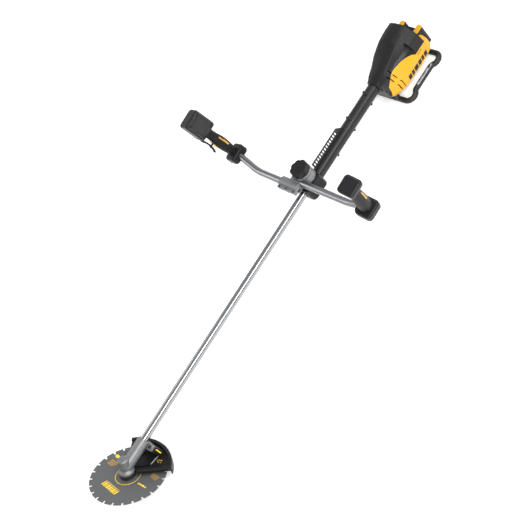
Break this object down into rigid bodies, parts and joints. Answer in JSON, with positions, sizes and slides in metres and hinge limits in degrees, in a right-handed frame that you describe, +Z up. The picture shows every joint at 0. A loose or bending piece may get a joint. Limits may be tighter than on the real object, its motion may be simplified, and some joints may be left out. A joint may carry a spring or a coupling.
{
  "type": "battery brush cutter",
  "caption": "Battery brush cutter with a rear motor head, a straight aluminium shaft, a bicycle handlebar with two grips and a guarded steel disc blade.",
  "frame": {"origin": "middle of the footprint, on the ground plane under the foot loop and the guard", "axes": "+Y forward along the shaft to the blade, +X to the operator's right, +Z up"},
  "size_m": [0.7994, 1.836, 0.3816],
  "materials": {
    "polished_aluminium": "Polished aluminium tube",
    "cast_aluminium": "Grey lacquered casting",
    "black_plastic": "Fine textured black plastic",
    "yellow_plastic": "Smooth yellow plastic",
    "grip_rubber": "Textured soft rubber",
    "painted_steel": "Black powder-coated steel",
    "blade_steel": "Ground grey steel with yellow print",
    "plain_steel": "Machined steel",
    "black_oxide": "Black oxide steel screws",
    "brass": "Turned brass",
    "copper_core": "Laminated core with copper windings",
    "cell_wrap": "Green cell wrap",
    "nylon": "Natural nylon",
    "circuit_board": "Green circuit board"
  },
  "bodies": {
    "root": {"shaft_tube": "polished_aluminium", "shaft_bushes": "nylon", "shaft_cover_left": "black_plastic", "shaft_cover_right": "black_plastic", "harness_rail": "painted_steel", "gearbox_housing": "cast_aluminium", "gearbox_shield": "painted_steel", "spindle_seal": "grip_rubber", "ball_bearings": "plain_steel", "cutting_head_screws": "black_oxide", "blade_guard": "black_plastic", "guard_bracket": "cast_aluminium", "clamp_base_upper": "black_plastic", "clamp_base_lower": "black_plastic", "cover_and_base_screws": "black_oxide", "clamp_stud": "plain_steel", "clamp_spring": "plain_steel", "side_housing_right": "yellow_plastic", "side_housing_left": "yellow_plastic", "motor_cover": "black_plastic", "motor_base": "black_plastic", "motor_stator": "copper_core", "motor_end_plates": "cast_aluminium", "motor_controller": "circuit_board", "foot_frame": "black_plastic"},
    "drive": {"drive_shaft": "plain_steel", "pinion_gear": "plain_steel", "drive_coupler": "brass", "motor_rotor": "plain_steel", "cooling_fan": "black_plastic"},
    "cutter": {"cutter_spindle": "plain_steel", "crown_gear": "plain_steel", "drive_flange": "painted_steel", "cutting_blade": "blade_steel", "clamp_washer": "plain_steel", "ground_cup": "plain_steel", "blade_nut": "plain_steel"},
    "handlebar": {"bar_clamp_body": "cast_aluminium", "bar_clamp_cap": "cast_aluminium", "bar_clamp_screws": "black_oxide", "clamp_plate": "cast_aluminium", "handlebar_right": "polished_aluminium", "handlebar_left": "polished_aluminium", "right_handle_core": "black_plastic", "left_handle_core": "black_plastic", "left_grip": "grip_rubber", "right_grip": "grip_rubber", "control_box_front": "black_plastic", "control_box_rear": "black_plastic", "left_cap": "black_plastic", "handle_pins": "plain_steel", "throttle_switch": "black_plastic"},
    "knob": {"clamp_knob": "black_plastic"},
    "trigger": {"throttle_trigger": "black_plastic"},
    "lock_lever": {"lock_off_lever": "yellow_plastic"},
    "selector": {"speed_selector": "yellow_plastic"},
    "battery": {"battery_case": "black_plastic", "battery_trim": "yellow_plastic", "battery_cells": "cell_wrap"},
    "latch": {"battery_latch": "yellow_plastic"}
  },
  "joints": [
    {"name": "drive_spin", "type": "hinge", "parent": "root", "child": "drive", "pos_m": [-0.00394, -0.74397, 0.105], "axis": [0, 1, 0], "continuous": true},
    {"name": "cutter_spin", "type": "hinge", "parent": "root", "child": "cutter", "pos_m": [-0.00394, 0.79197, 0.105], "axis": [0, -0.512, 0.859], "continuous": true},
    {"name": "handlebar_turn", "type": "hinge", "parent": "root", "child": "handlebar", "pos_m": [-0.00394, -0.29497, 0.149], "axis": [0, 0, 1], "range_deg": [-90, 90]},
    {"name": "clamp_knob_turn", "type": "hinge", "parent": "root", "child": "knob", "pos_m": [-0.00394, -0.29497, 0.1713], "axis": [0, 0, 1], "continuous": true},
    {"name": "throttle_pull", "type": "hinge", "parent": "handlebar", "child": "trigger", "pos_m": [0.35188, -0.24046, 0.3005], "axis": [0.9606, -0.0057, -0.2779], "range_deg": [-5, 0], "stiffness_Nm_per_rad": 1.2, "springref_deg": 3.44},
    {"name": "lock_off_press", "type": "hinge", "parent": "handlebar", "child": "lock_lever", "pos_m": [0.34097, -0.25105, 0.26297], "axis": [0.9606, -0.0057, -0.2779], "range_deg": [-5, 0], "stiffness_Nm_per_rad": 0.6, "springref_deg": 3.44},
    {"name": "speed_slide", "type": "slide", "parent": "handlebar", "child": "selector", "axis": [0.2779, 0.0403, 0.9598], "range_m": [-0.006, 0.006]},
    {"name": "battery_slide", "type": "slide", "parent": "root", "child": "battery", "axis": [0, -1, 0], "range_m": [0, 0.11]},
    {"name": "battery_latch_press", "type": "slide", "parent": "battery", "child": "latch", "axis": [0, 1, 0], "range_m": [0, 0.002], "stiffness_N_per_m": 900, "springref_m": -0.002}
  ],
  "couplings": [
    {"joint": "drive_spin", "follows": "cutter_spin", "ratio": 1.3333}
  ]
}
